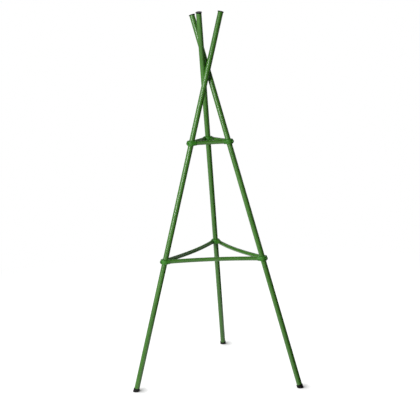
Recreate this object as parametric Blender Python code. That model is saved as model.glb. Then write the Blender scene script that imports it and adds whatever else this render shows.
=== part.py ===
"""Pyramid plant support: three tubular legs that cross near their tops like the poles of a teepee,
tied together by two rings of inward-bowed bars that push onto moulded corner connectors.

Metres, +Z up. The feet stand on the ground at Z = 0, and the back leg's foot points along +Y.
"""

from math import asin, cos, pi, radians, sin, sqrt

import bmesh
import bpy
from mathutils import Matrix, Vector

# Legs: plastic-coated steel tube
LEG_LENGTH = 1.510
FRONT_RIGHT_CUT = 0.008
LEG_DIAMETER = 0.021
LEG_WALL = 0.0010
LEG_SIDES = 24

# Where the legs stand and cross
FOOT_CIRCLE_RADIUS = 0.372
CROSSING_HEIGHT = 1.231
CROSSING_GAP = 0.0003

# Rings: where their bars' centre lines lie, the lower one above the ground and the upper one under the
# crossing, the bars themselves and how far each end turns inwards
LOWER_RING_HEIGHT = 0.504
UPPER_RING_DROP = 0.274
LOWER_BAR_TURN = radians(10)
UPPER_BAR_TURN = radians(4)
BAR_DIAMETER = 0.016
BAR_WALL = 0.0010
BAR_SIDES = 16
LOWER_BAR_STEPS = 8
UPPER_BAR_STEPS = 3

# Corner connectors: a level barrel round the leg, with a collar and a spigot for each of its two bars
BARREL_WALL = 0.0075
BARREL_ROUNDING = 0.0045
BARREL_LIP = 0.0004
BARREL_SIDES = 24
COLLAR_WALL = 0.0012
COLLAR_INSET = 0.0003
COLLAR_PROUD = 0.0015
COLLAR_DEPTH = 0.0030
COLLAR_CHAMFER = 0.0006
COLLAR_SIDES = 16
SPIGOT_LENGTH = 0.0140
SPIGOT_CHAMFER = 0.0015
SPIGOT_ROOT = 0.0020

# Fixing screws: one level screw through each connector's boss into its leg
BOSS_PROUD = 0.0023
BOSS_WALL = 0.0017
BOSS_CHAMFER = 0.0008
BOSS_ROOT = 0.0050
SCREW_DIAMETER = 0.0035
SCREW_HEAD_DIAMETER = 0.0070
SCREW_HEAD_HEIGHT = 0.0020
SCREW_HEAD_SINK = 0.0026
SCREW_POINT = 0.0025
SCREW_BITE = 0.0040
SCREW_SIDES = 12

# Top caps: plugs pushed into the tubes, with a thin flange over the tube's end
TOP_CAP_OVERHANG = 0.0018
TOP_CAP_HEIGHT = 0.0030
TOP_CAP_ROUNDING = 0.0012
TOP_CAP_CROWN = 0.0004
TOP_PLUG_LENGTH = 0.0140
TOP_PLUG_WALL = 0.0018
TOP_PLUG_WEB = 0.0030
TOP_PLUG_RIDGES = 2
TOP_PLUG_RIDGE = 0.0004

# Foot caps: cups round the tubes' lower ends, cut level with the ground
FOOT_CAP_WALL = 0.0015
FOOT_CAP_FLARE = 0.0006
FOOT_CAP_GRIP = 0.0068
FOOT_CAP_ROUNDING = 0.0007
FOOT_CAP_SOLE = 0.0020

# Clearance between pieces that fit together
FIT_GAP = 0.0003

# Facets in each small rounded corner, and how near two points are one
ROUNDING_STEPS = 2
MERGE_DISTANCE = 1e-6

# Sizes that follow from those above, measured from the leg's axis where a piece goes round the leg
UPPER_RING_HEIGHT = CROSSING_HEIGHT - UPPER_RING_DROP
BARREL_RADIUS = LEG_DIAMETER / 2 + BARREL_WALL
COLLAR_RADIUS = BAR_DIAMETER / 2 + FIT_GAP + COLLAR_WALL
BARREL_HEIGHT = 2 * (COLLAR_RADIUS + BARREL_LIP)
BAR_OFFSET = BARREL_RADIUS - COLLAR_RADIUS - COLLAR_INSET
COLLAR_REACH = BARREL_RADIUS + COLLAR_PROUD
BAR_START = COLLAR_REACH - COLLAR_DEPTH
BOSS_RADIUS = SCREW_HEAD_DIAMETER / 2 + FIT_GAP + BOSS_WALL
BOSS_REACH = BARREL_RADIUS + BOSS_PROUD
SCREW_SEAT = BOSS_REACH - SCREW_HEAD_SINK

COPIES = ("back", "front_left", "front_right")
BAR_COPIES = ("back_left", "front", "back_right")
TURN = 2 * pi / len(COPIES)
SMOOTH_ANGLE = radians(35)
OUTWARDS = Matrix.Rotation(pi / 2, 4, "Y")


def crossing_radius():
    """How far each leg's axis passes from the pyramid's own, so that the legs just clear each other."""
    apart = LEG_DIAMETER + CROSSING_GAP
    spread = (FOOT_CIRCLE_RADIUS / CROSSING_HEIGHT) ** 2
    return apart * sqrt((3 + 0.75 * spread) / (9 + 0.75 * (apart / CROSSING_HEIGHT) ** 2))


def leg_line():
    """The back leg's foot on the ground and its direction upwards."""
    waist = crossing_radius()
    twist = asin(waist / FOOT_CIRCLE_RADIUS)
    foot = Vector((0, FOOT_CIRCLE_RADIUS, 0))
    crossing = Vector((-waist * cos(twist), waist * sin(twist), CROSSING_HEIGHT))
    return foot, (crossing - foot).normalized()


def point_at_height(height):
    foot, direction = leg_line()
    return foot + direction * (height / direction.z)


def frame_from(origin, x_axis, y_axis, z_axis):
    frame = Matrix((x_axis, y_axis, z_axis)).transposed().to_4x4()
    frame.translation = origin
    return frame


def leg_frame():
    """A frame at the back foot's point on the ground: Z up the leg, X away from the pyramid's axis."""
    foot, up = leg_line()
    outward = (foot - foot.dot(up) * up).normalized()
    return frame_from(foot, outward, up.cross(outward), up)


def corner_frame(height):
    """A level frame at the back corner of a ring: Z up, X away from the pyramid's axis."""
    corner = point_at_height(height)
    outward = Vector((corner.x, corner.y, 0)).normalized()
    level_up = Vector((0, 0, 1))
    return frame_from(corner, outward, level_up.cross(outward), level_up)


def side_frame(height):
    """A level frame midway between the back and front left corners: X to the front left, Y inwards."""
    corner = point_at_height(height)
    neighbour = Matrix.Rotation(TURN, 3, "Z") @ corner
    chord = (neighbour - corner).normalized()
    level_up = Vector((0, 0, 1))
    return frame_from((neighbour + corner) / 2, chord, level_up.cross(chord), level_up)


def tube_start():
    """Distance along the leg from the ground to the tube's lower end, with the cap's sole under it."""
    up = leg_line()[1]
    tilt_drop = LEG_DIAMETER / 2 * sqrt(1 - up.z ** 2)
    return (FOOT_CAP_SOLE + FIT_GAP + tilt_drop) / up.z


def ring_chord(height):
    """Length between neighbouring corners of the ring at that height."""
    corner = point_at_height(height)
    return sqrt(3) * sqrt(corner.x ** 2 + corner.y ** 2)


def material(name, colour, roughness, metallic=0.0):
    finish = bpy.data.materials.new(name)
    finish.use_nodes = True
    shader = finish.node_tree.nodes["Principled BSDF"]
    shader.inputs["Base Color"].default_value = (*colour, 1)
    shader.inputs["Roughness"].default_value = roughness
    shader.inputs["Metallic"].default_value = metallic
    finish.diffuse_color = (*colour, 1)
    return finish


def mesh_from(bm, name):
    """A mesh with no doubled points and its faces turned outwards."""
    bmesh.ops.remove_doubles(bm, verts=bm.verts, dist=MERGE_DISTANCE)
    bmesh.ops.dissolve_degenerate(bm, edges=bm.edges, dist=MERGE_DISTANCE)
    bmesh.ops.recalc_face_normals(bm, faces=bm.faces)
    if bm.calc_volume(signed=True) < 0:
        bmesh.ops.reverse_faces(bm, faces=bm.faces)
    mesh = bpy.data.meshes.new(name)
    bm.to_mesh(mesh)
    bm.free()
    return mesh


def turned(profile, sides, name):
    """A solid of revolution about Z from (radius, height) points. Ends short of the axis are flat."""
    bm = bmesh.new()
    points = [bm.verts.new((radius, 0, height)) for radius, height in profile]
    edges = [bm.edges.new(pair) for pair in zip(points, points[1:])]
    outline = points + edges
    bmesh.ops.spin(bm, geom=outline, axis=(0, 0, 1), angle=2 * pi, steps=sides, use_merge=True)
    bmesh.ops.remove_doubles(bm, verts=bm.verts, dist=MERGE_DISTANCE)
    bmesh.ops.holes_fill(bm, edges=[edge for edge in bm.edges if edge.is_boundary])
    return mesh_from(bm, name)


def rod(radius, start, end, sides, name):
    return turned([(radius, start), (radius, end)], sides, name)


def rounded_corner(radius, height, rounding, upper):
    """Points of a quarter round, climbing the outside: at a body's upper corner, or at its lower one."""
    steps = [pi / 2 * step / ROUNDING_STEPS for step in range(ROUNDING_STEPS + 1)]
    inset = radius - rounding
    if upper:
        return [(inset + rounding * cos(a), height - rounding + rounding * sin(a)) for a in steps]
    return [(inset + rounding * sin(a), height + rounding - rounding * cos(a)) for a in steps]


def along(origin, direction):
    """A frame with its Z along a direction."""
    frame = direction.to_track_quat("Z", "Y").to_matrix().to_4x4()
    frame.translation = origin
    return frame


def combine(body, tool, operation):
    """The exact Boolean of two meshes, as a new mesh."""
    parts = [bpy.data.objects.new("combine", mesh) for mesh in (body, tool)]
    for part in parts:
        bpy.context.scene.collection.objects.link(part)
    change = parts[0].modifiers.new("combine", "BOOLEAN")
    change.operation = operation
    change.object = parts[1]
    bm = bmesh.new()
    bm.from_object(parts[0], bpy.context.evaluated_depsgraph_get())
    for part in parts:
        bpy.data.objects.remove(part)
    return mesh_from(bm, body.name)


def only(pieces, kind):
    """The vertices, or the edges, among the pieces that an operator made."""
    return [piece for piece in pieces if isinstance(piece, kind)]


def moved(mesh, frame):
    mesh.transform(frame)
    return mesh


def place(name, mesh, frame, finish):
    """Adds a piece as an object, smooth shaded, under the pyramid's own origin."""
    part = bpy.data.objects.new(name, mesh)
    bpy.context.scene.collection.objects.link(part)
    part.parent = bpy.data.objects["pyramid_origin"]
    part.matrix_local = frame
    if finish.name not in mesh.materials:
        mesh.materials.append(finish)
        mesh.shade_smooth()
        mesh.set_sharp_from_angle(angle=SMOOTH_ANGLE)
    return part


def leg_mesh(length):
    """A straight tube in the leg's own frame, drilled for its two fixing screws."""
    start = tube_start()
    bm = bmesh.new()
    outer = bmesh.ops.create_circle(bm, radius=LEG_DIAMETER / 2, segments=LEG_SIDES)["verts"]
    inner = bmesh.ops.create_circle(bm, radius=LEG_DIAMETER / 2 - LEG_WALL, segments=LEG_SIDES)["verts"]
    bmesh.ops.translate(bm, verts=outer + inner, vec=(0, 0, start))
    rim = bmesh.ops.bridge_loops(bm, edges=bm.edges[:])["faces"]
    lifted = bmesh.ops.extrude_face_region(bm, geom=rim)["geom"]
    bmesh.ops.translate(bm, verts=only(lifted, bmesh.types.BMVert), vec=(0, 0, length))
    mesh = mesh_from(bm, "leg_tube")
    for height in (LOWER_RING_HEIGHT, UPPER_RING_HEIGHT):
        drill = rod(SCREW_DIAMETER / 2 + FIT_GAP, 0, LEG_DIAMETER, SCREW_SIDES, "drill")
        drill_frame = leg_frame().inverted() @ corner_frame(height) @ OUTWARDS
        mesh = combine(mesh, moved(drill, drill_frame), "DIFFERENCE")
    return mesh


def top_cap_mesh():
    """A hollow ridged plug under a rounded flange, with the flange's underside at Z = 0."""
    flange = LEG_DIAMETER / 2 + TOP_CAP_OVERHANG
    plug = LEG_DIAMETER / 2 - LEG_WALL - FIT_GAP
    core = plug - TOP_PLUG_RIDGE
    hollow = core - TOP_PLUG_WALL
    profile = [(hollow, -TOP_PLUG_WEB), (hollow, -TOP_PLUG_LENGTH), (core, -TOP_PLUG_LENGTH)]
    pitch = TOP_PLUG_LENGTH / (TOP_PLUG_RIDGES + 1)
    for ridge in range(TOP_PLUG_RIDGES, 0, -1):
        profile += [(plug, -pitch * ridge), (core, -pitch * (ridge - 0.5))]
    profile += [(core, 0), (flange, 0)]
    profile += rounded_corner(flange, TOP_CAP_HEIGHT, TOP_CAP_ROUNDING, True)
    profile += [(0, TOP_CAP_HEIGHT + TOP_CAP_CROWN)]
    return turned(profile, LEG_SIDES, "top_cap")


def foot_cap_mesh():
    """A cup over the tube's lower end, in the leg's own frame, cut off level with the ground."""
    bore = LEG_DIAMETER / 2 + FIT_GAP
    outside = bore + FOOT_CAP_WALL
    floor = tube_start() - FIT_GAP
    mouth = floor + FOOT_CAP_GRIP
    below = -LEG_DIAMETER
    profile = [(outside + FOOT_CAP_FLARE, below), (outside + FOOT_CAP_FLARE, 0), (outside, floor)]
    profile += rounded_corner(outside, mouth, FOOT_CAP_ROUNDING, True)
    profile += [(bore, mouth), (bore, floor)]
    bm = bmesh.new()
    bm.from_mesh(turned(profile, LEG_SIDES, "foot_cap"))
    ground = leg_frame().to_3x3().inverted() @ Vector((0, 0, 1))
    everything = bm.verts[:] + bm.edges[:] + bm.faces[:]
    cut = bmesh.ops.bisect_plane(bm, geom=everything, plane_co=(0, 0, 0), plane_no=ground, clear_inner=True)
    bmesh.ops.edgeloop_fill(bm, edges=only(cut["geom_cut"], bmesh.types.BMEdge))
    return mesh_from(bm, "foot_cap")


def socket_frames(height, turn):
    """The two frames at a corner whose Z runs into the bars, in the corner's own level frame."""
    to_corner = corner_frame(height).inverted()
    side = side_frame(height)
    half_chord = ring_chord(height) / 2
    start = side @ Vector((-half_chord, -BAR_OFFSET, 0))
    heading = side.to_3x3() @ Vector((cos(turn), sin(turn), 0))
    first = to_corner @ along(start, heading)
    mirror = Matrix.Diagonal((1, -1, 1, 1))
    return [first, mirror @ first @ mirror]


def connector_mesh(height, turn):
    """A moulded corner: barrel, two collars, screw boss and two spigots, bored for the slanting leg."""
    half = BARREL_HEIGHT / 2
    profile = rounded_corner(BARREL_RADIUS, -half, BARREL_ROUNDING, False)
    profile += rounded_corner(BARREL_RADIUS, half, BARREL_ROUNDING, True)
    mesh = turned(profile, BARREL_SIDES, "connector")
    collar_profile = [(COLLAR_RADIUS, 0), (COLLAR_RADIUS, COLLAR_REACH - COLLAR_CHAMFER)]
    collar_profile += [(COLLAR_RADIUS - COLLAR_CHAMFER, COLLAR_REACH)]
    boss_profile = [(BOSS_RADIUS, BARREL_RADIUS - BOSS_ROOT), (BOSS_RADIUS, BOSS_REACH - BOSS_CHAMFER)]
    boss_profile += [(BOSS_RADIUS - BOSS_CHAMFER, BOSS_REACH)]
    sockets = socket_frames(height, turn)
    for frame in sockets:
        mesh = combine(mesh, moved(turned(collar_profile, COLLAR_SIDES, "collar"), frame), "UNION")
    mesh = combine(mesh, moved(turned(boss_profile, COLLAR_SIDES, "boss"), OUTWARDS), "UNION")
    leg_way = corner_frame(height).to_3x3().inverted() @ leg_line()[1]
    leg_bore = rod(LEG_DIAMETER / 2 + FIT_GAP, -BARREL_HEIGHT, BARREL_HEIGHT, LEG_SIDES, "bore")
    mesh = combine(mesh, moved(leg_bore, along(Vector((0, 0, 0)), leg_way)), "DIFFERENCE")
    floor = BAR_START - FIT_GAP
    spigot = BAR_DIAMETER / 2 - BAR_WALL - FIT_GAP
    tip = floor + SPIGOT_LENGTH
    spigot_profile = [(spigot, floor - SPIGOT_ROOT), (spigot, tip - SPIGOT_CHAMFER)]
    spigot_profile += [(spigot - SPIGOT_CHAMFER, tip)]
    for frame in sockets:
        recess = rod(BAR_DIAMETER / 2 + FIT_GAP, floor, tip, COLLAR_SIDES, "recess")
        mesh = combine(mesh, moved(recess, frame), "DIFFERENCE")
        mesh = combine(mesh, moved(turned(spigot_profile, COLLAR_SIDES, "spigot"), frame), "UNION")
    shank = SCREW_DIAMETER / 2 + FIT_GAP
    head = SCREW_HEAD_DIAMETER / 2 + FIT_GAP
    past = BOSS_REACH + SCREW_HEAD_SINK
    hole = turned([(shank, 0), (shank, SCREW_SEAT), (head, SCREW_SEAT), (head, past)], SCREW_SIDES, "hole")
    return combine(mesh, moved(hole, OUTWARDS), "DIFFERENCE")


def bar_mesh(height, turn, steps):
    """The outside of a tube with straight ends for the collars and an inward bow between them."""
    half_chord = ring_chord(height) / 2
    heading = Vector((cos(turn), sin(turn), 0))
    corner = Vector((-half_chord, -BAR_OFFSET, 0))
    end = corner + heading * BAR_START
    mouth = corner + heading * COLLAR_REACH
    bend_radius = -mouth.x / sin(turn)
    bend_centre = (0, mouth.y - bend_radius * cos(turn), 0)
    bm = bmesh.new()
    bmesh.ops.create_circle(bm, radius=BAR_DIAMETER / 2, segments=BAR_SIDES, matrix=along(end, heading))
    grown = bmesh.ops.extrude_edge_only(bm, edges=bm.edges[:])["geom"]
    bmesh.ops.translate(bm, verts=only(grown, bmesh.types.BMVert), vec=mouth - end)
    rim = only(grown, bmesh.types.BMVert) + only(grown, bmesh.types.BMEdge)
    bent = bmesh.ops.spin(bm, geom=rim, cent=bend_centre, axis=(0, 0, 1), angle=-2 * turn, steps=steps)
    grown = bmesh.ops.extrude_edge_only(bm, edges=only(bent["geom_last"], bmesh.types.BMEdge))["geom"]
    way_out = Vector((heading.x, -heading.y, 0)) * COLLAR_DEPTH
    bmesh.ops.translate(bm, verts=only(grown, bmesh.types.BMVert), vec=way_out)
    return mesh_from(bm, "bar_tube")


def screw_mesh():
    """A self-tapping screw along Z, its head's underside at Z = 0 and its point below."""
    shank = SCREW_DIAMETER / 2
    head = SCREW_HEAD_DIAMETER / 2
    length = SCREW_SEAT + FIT_GAP - (LEG_DIAMETER / 2 - LEG_WALL) + SCREW_BITE
    profile = [(0, -length), (shank, -length + SCREW_POINT), (shank, 0), (head, 0)]
    profile += rounded_corner(head, SCREW_HEAD_HEIGHT, SCREW_HEAD_HEIGHT / 2, True)
    return turned(profile, SCREW_SIDES, "screw")


def leg_length(name):
    return LEG_LENGTH - FRONT_RIGHT_CUT if name == "front_right" else LEG_LENGTH


def add_legs(finish):
    meshes = {length: leg_mesh(length) for length in {leg_length(name) for name in COPIES}}
    for index, name in enumerate(COPIES):
        turn = Matrix.Rotation(TURN * index, 4, "Z")
        place("leg_tube_" + name, meshes[leg_length(name)], turn @ leg_frame(), finish)


def add_caps(finish):
    top = top_cap_mesh()
    foot = foot_cap_mesh()
    for index, name in enumerate(COPIES):
        turn = Matrix.Rotation(TURN * index, 4, "Z")
        seat = Matrix.Translation((0, 0, tube_start() + leg_length(name) + FIT_GAP))
        place("top_cap_" + name, top, turn @ leg_frame() @ seat, finish)
        place("foot_cap_" + name, foot, turn @ leg_frame(), finish)


def add_ring(ring, height, bar_turn, steps, finishes):
    connector = connector_mesh(height, bar_turn)
    bar = bar_mesh(height, bar_turn, steps)
    screw = screw_mesh()
    screw_seat = OUTWARDS @ Matrix.Translation((0, 0, SCREW_SEAT + FIT_GAP))
    for index, name in enumerate(COPIES):
        turn = Matrix.Rotation(TURN * index, 4, "Z")
        corner = turn @ corner_frame(height)
        place(ring + "_connector_" + name, connector, corner, finishes["moulding"])
        place(ring + "_screw_" + name, screw, corner @ screw_seat, finishes["screw"])
        part = place(ring + "_bar_" + BAR_COPIES[index], bar, turn @ side_frame(height), finishes["tube"])
        wall = part.modifiers.new("wall", "SOLIDIFY")
        wall.thickness = BAR_WALL
        wall.offset = -1
        wall.use_even_offset = True


def centre_on_footprint(origin):
    """Moves the pyramid so that the middle of its footprint is at the world's origin."""
    bpy.context.view_layer.update()
    corners = [part.matrix_world @ vertex.co for part in origin.children for vertex in part.data.vertices]
    origin.location.x -= (min(c.x for c in corners) + max(c.x for c in corners)) / 2
    origin.location.y -= (min(c.y for c in corners) + max(c.y for c in corners)) / 2


def main():
    for old in list(bpy.data.objects):
        bpy.data.objects.remove(old)
    origin = bpy.data.objects.new("pyramid_origin", None)
    bpy.context.scene.collection.objects.link(origin)
    finishes = {
        "tube": material("coated_tube", (0.070, 0.230, 0.050), 0.32),
        "moulding": material("moulded_green", (0.060, 0.210, 0.035), 0.42),
        "cap": material("black_plastic", (0.012, 0.012, 0.012), 0.45),
        "screw": material("painted_screw", (0.040, 0.140, 0.035), 0.35, 0.3),
    }
    add_legs(finishes["tube"])
    add_caps(finishes["cap"])
    add_ring("lower", LOWER_RING_HEIGHT, LOWER_BAR_TURN, LOWER_BAR_STEPS, finishes)
    add_ring("upper", UPPER_RING_HEIGHT, UPPER_BAR_TURN, UPPER_BAR_STEPS, finishes)
    centre_on_footprint(origin)


main()
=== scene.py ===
"""Pyramid plant support, dressed for its photograph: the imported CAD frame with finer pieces,
finishes, studio floor, lamps and camera. Metres, +Z up, in the CAD's own frame.
"""

from math import asin, atan2, cos, pi, radians, sin, sqrt

import bmesh
import bpy
from bmesh.types import BMEdge, BMVert
from bpy.props import FloatProperty, FloatVectorProperty, IntProperty, PointerProperty
from bpy.types import Operator, Panel, PropertyGroup
from mathutils import Matrix, Vector


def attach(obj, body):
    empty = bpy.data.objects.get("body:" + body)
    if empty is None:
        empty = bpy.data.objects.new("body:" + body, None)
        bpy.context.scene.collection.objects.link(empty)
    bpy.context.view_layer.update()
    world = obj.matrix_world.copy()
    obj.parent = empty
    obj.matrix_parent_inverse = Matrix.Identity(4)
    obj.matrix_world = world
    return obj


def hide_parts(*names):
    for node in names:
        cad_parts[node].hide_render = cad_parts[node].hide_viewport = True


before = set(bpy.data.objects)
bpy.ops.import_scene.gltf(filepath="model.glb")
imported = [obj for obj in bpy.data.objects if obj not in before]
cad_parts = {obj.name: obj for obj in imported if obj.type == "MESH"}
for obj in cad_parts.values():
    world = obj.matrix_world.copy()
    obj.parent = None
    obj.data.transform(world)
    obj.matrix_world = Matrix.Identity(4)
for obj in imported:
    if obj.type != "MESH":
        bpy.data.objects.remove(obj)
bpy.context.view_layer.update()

bl_info = {
    "name": "Pyramid Plant Support",
    "version": (1, 0, 0),
    "blender": (4, 5, 0),
    "location": "3D View > Sidebar > Plant Support",
    "description": "Builds the plant support's tubes, connectors, caps and screws with finishes",
    "category": "Object",
}

COPIES = ("back", "front_left", "front_right")
BAR_COPIES = ("back_left", "front", "back_right")
TURN = 2 * pi / len(COPIES)
OUTWARDS = Matrix.Rotation(pi / 2, 4, "Y")
LEVEL_UP = Vector((0, 0, 1))
MERGE_DISTANCE = 1e-6
SMOOTH_ANGLE = radians(32)

# Facets round the connectors' turned shapes, the screws and the holes
BARREL_SIDES = 96
BORE_SIDES = 72
COLLAR_SIDES = 64
SMALL_SIDES = 48
DRILL_SIDES = 24

# Facets in the rounded corners, from the smallest edges to the large ones
EDGE_STEPS = 3
ROUNDING_STEPS = 5
HEAD_STEPS = 6
LARGE_STEPS = 8

# Small shapes that no setting changes: counts, a ratio and lengths in metres
PLUG_RIDGES = 2
CROWN_STEPS = 5
GATE_RIM = 1.3
CAP_CHAMFER = 0.0003
MOUTH_CHAMFER = 0.0002
BOSS_ROOT = 0.005
SPIGOT_ROOT = 0.002
SPIGOT_CHAMFER = 0.0015
SCREW_POINT = 0.0025
RECESS_WIDE = 0.0040
RECESS_NARROW = 0.0020
RECESS_THICK = 0.0009
RECESS_DEEP = 0.0026

# Place, target and size of each lamp, which has a power setting of its name, and of each flag
LAMPS = {
    "soft_wall": ((-2.35, -2.15, 1.5), (0, 0, 0.7), (3.2, 2.2)),
    "strip_lamp": ((-1.75, -2.60, 1.75), (0, 0, 1.0), (0.22, 1.3)),
    "back_lamp": ((0.3, 3.4, 1.9), (0, 0, 0.7), (1.6, 1.6)),
    "side_lamp": ((2.9, 2.1, 1.6), (0, 0, 0.7), (1.2, 1.6)),
}
FLAGS = {
    "right_flag": ((2.0, -1.2, 1.2), (0, 0, 1), (4.0, 3.0)),
    "back_flag": ((1.2, 2.2, 1.2), (0, 0, 1), (4.4, 3.0)),
    "left_flag": ((-2.4, 1.2, 1.2), (0, 0, 1), (2.6, 3.0)),
    "front_flag": ((-1.5, -4.8, 1.4), (0, 0, 1), (2.9, 3.6)),
    "left_front_flag": ((-3.6, -3.2, 1.4), (0, 0, 1), (5.4, 3.6)),
    "roof_flag": ((0, -0.4, 3.6), (0, 0, 1), (5.0, 5.0)),
    "low_flag": ((1.4, 0, 0.004), (1.4, 0, 1), (2.2, 3.0)),
}

# The floor: its level as the camera sees it, where it turns plain white, and its contact shadow
FLOOR_SIDES = 96
FLOOR_LEVEL = 0.975
WHITE_STARTS = 0.9
WHITE_FROM = 2.2
CONTACT_SAMPLES = 16
CONTACT_DEPTH = 2.0
TOWARDS_LAMPS = (-0.85, -0.20, 0.49)

SENSOR_WIDTH = 36


def length(name, default, description):
    return FloatProperty(
        name=name, description=description, default=default, min=0, unit="LENGTH", precision=5
    )


def colour(name, default, description):
    return FloatVectorProperty(
        name=name, description=description, default=default, size=3, min=0, max=1, subtype="COLOR"
    )


def count(name, default, low, description):
    return IntProperty(name=name, description=description, default=default, min=low)


def turning(name, degrees, description):
    return FloatProperty(
        name=name, description=description, default=radians(degrees), subtype="ANGLE"
    )


def power(name, default, description):
    return FloatProperty(name=name, description=description, default=default, min=0, unit="POWER")


class LegSizes(PropertyGroup):
    """The three tubes, and where they stand and cross."""

    tube_length: length("Tube length", 1.510, "Length of the two longer legs' tubes")
    front_right_cut: length("Front right cut", 0.008, "How much shorter the front right tube is")
    diameter: length("Tube diameter", 0.021, "Outside of the coated tube")
    wall: length("Tube wall", 0.0010, "Steel and coating together")
    foot_circle: length("Foot circle radius", 0.372, "Circle that the three feet stand on")
    crossing_height: length("Crossing height", 1.231, "Where the legs pass each other")
    crossing_gap: length("Crossing gap", 0.0003, "Clearance between the legs where they cross")
    rim_rounding: length("Rim rounding", 0.00025, "Rounding of the tube's cut ends")
    sides: count("Sides", 72, 24, "Facets round a tube")


class RingSizes(PropertyGroup):
    """The two rings of inward-bowed bars."""

    lower_height: length("Lower ring height", 0.504, "Lower bars' centre line above the ground")
    upper_drop: length("Upper ring drop", 0.274, "Upper bars' centre line under the crossing")
    lower_turn: turning("Lower bars' turn", 10, "How far each end of a lower bar turns inwards")
    upper_turn: turning("Upper bars' turn", 4, "How far each end of an upper bar turns inwards")
    bar_diameter: length("Bar diameter", 0.016, "Outside of the coated bar")
    bar_wall: length("Bar wall", 0.0010, "Steel and coating together")
    sides: count("Sides", 48, 16, "Facets round a bar")
    steps: count("Bow steps", 40, 8, "Steps along a bar's bow")


class ConnectorSizes(PropertyGroup):
    """The moulded corners and their screws."""

    barrel_wall: length("Barrel wall", 0.0075, "From the leg to the barrel's outside")
    barrel_rounding: length("Barrel rounding", 0.0045, "Rounding of the barrel's ends")
    barrel_lip: length("Barrel lip", 0.0004, "Barrel above and below its collars")
    collar_wall: length("Collar wall", 0.0012, "Collar round a bar's end")
    collar_inset: length("Collar inset", 0.0003, "Collar's side inside the barrel's side")
    collar_proud: length("Collar proud", 0.0015, "Collar's reach past the barrel")
    collar_depth: length("Collar depth", 0.0030, "How deep a bar sits in its collar")
    spigot_length: length("Spigot length", 0.0140, "Spigot inside a bar")
    boss_proud: length("Boss proud", 0.0023, "Screw boss past the barrel")
    boss_wall: length("Boss wall", 0.0017, "Boss round the screw head")
    edge_rounding: length("Edge rounding", 0.0005, "Rounding of the moulding's small edges")
    screw_diameter: length("Screw diameter", 0.0035, "Outside of the screw's thread")
    screw_head: length("Screw head diameter", 0.0070, "Across the screw's head")
    screw_head_height: length("Screw head height", 0.0020, "Height of the screw's head")
    screw_head_sink: length("Screw head sink", 0.0026, "Depth of the head's seat in the boss")
    screw_bite: length("Screw bite", 0.0040, "Screw's reach past the leg's inner wall")
    fit_gap: length("Fit gap", 0.0003, "Clearance between pieces that fit together")


class CapSizes(PropertyGroup):
    """The black caps on the tubes' ends."""

    top_overhang: length("Top cap overhang", 0.0018, "Flange past the tube's outside")
    top_height: length("Top cap height", 0.0030, "Flange above the tube's end")
    top_rounding: length("Top cap rounding", 0.0014, "Rounding of the flange's edge")
    top_crown: length("Top cap crown", 0.0004, "Rise of the flange to its middle")
    gate_radius: length("Gate mark radius", 0.0012, "Moulding mark in the flange's middle")
    gate_depth: length("Gate mark depth", 0.0002, "Depth of the moulding mark")
    plug_length: length("Plug length", 0.0140, "Plug inside the tube")
    plug_wall: length("Plug wall", 0.0018, "Wall of the hollow plug")
    plug_ridge: length("Plug ridge", 0.0004, "Ridges that grip the tube")
    foot_wall: length("Foot cap wall", 0.0015, "Cup's wall")
    foot_flare: length("Foot cap flare", 0.0006, "How much wider the cup is at the ground")
    foot_grip: length("Foot cap grip", 0.0068, "Cup's reach up the tube")
    foot_rounding: length("Foot cap rounding", 0.0007, "Rounding of the cup's mouth")
    foot_sole: length("Foot cap sole", 0.0020, "Sole under the tube's end")
    sole_rounding: length("Sole rounding", 0.0004, "Rounding where the cup meets the ground")


class Finishes(PropertyGroup):
    """Colours of the coatings and mouldings."""

    coating: colour("Coating", (0.077, 0.272, 0.029), "Green coating of the tubes and bars")
    coating_light: colour("Coating, lighter", (0.098, 0.318, 0.040), "Where the coating is thinner")
    moulding: colour("Moulding", (0.055, 0.285, 0.022), "Green plastic of the connectors")
    moulding_light: colour("Moulding, lighter", (0.075, 0.335, 0.032), "Where plastic has flowed")
    scuff: colour("Scuff", (0.200, 0.330, 0.160), "Rubbed coating and plastic")
    cap: colour("Cap", (0.004, 0.004, 0.005), "Black plastic of the caps")
    cap_light: colour("Cap, lighter", (0.011, 0.011, 0.012), "Rubbed black plastic")
    screw: colour("Screw", (0.040, 0.150, 0.030), "Paint on the screw heads")
    bare_steel: colour("Bare steel", (0.320, 0.310, 0.290), "Steel where the paint is off")
    dust: colour("Dust", (0.420, 0.390, 0.330), "Fine dust near the ground")


class StageSettings(PropertyGroup):
    """Floor, lamps and camera."""

    floor_colour: colour("Floor", (0.35, 0.35, 0.35), "Pale studio floor")
    floor_radius: length("Floor radius", 30.0, "Reach of the floor")
    contact_reach: length("Contact shadow", 0.038, "Reach of the soft shadow beside each foot")
    world_level: FloatProperty(
        name="Room light", description="Even light from the white room", default=0.05, min=0
    )
    soft_wall: power("Soft wall", 28, "Power of the large lamp at the left")
    strip_lamp: power("Strip lamp", 48, "Power of the high, narrow lamp at the left")
    back_lamp: power("Back lamp", 40, "Power of the lamp behind")
    side_lamp: power("Side lamp", 24, "Power of the lamp behind at the right")
    lens: FloatProperty(
        name="Lens", description="Focal length on a 36 mm sensor", default=85.0, unit="CAMERA"
    )
    camera_place: FloatVectorProperty(
        name="Camera place",
        description="Where the camera stands",
        default=(0.2157, -3.9604, 1.4266),
        unit="LENGTH",
    )
    camera_heading: turning("Camera heading", 3.337, "Turn about the vertical")
    camera_tilt: turning("Camera tilt", 10.893, "Tilt below the level")
    camera_roll: turning("Camera roll", -2.611, "Roll about the view")


# Where everything stands


def pyramid_axis():
    """The pyramid's upright axis, midway between the CAD's three lower corners."""
    corners = [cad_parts["lower_connector_" + name].data.vertices for name in COPIES]
    places = [vertex.co for vertices in corners for vertex in vertices]
    middle = sum(places, Vector()) / len(places)
    return Matrix.Translation((middle.x, middle.y, 0))


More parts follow.
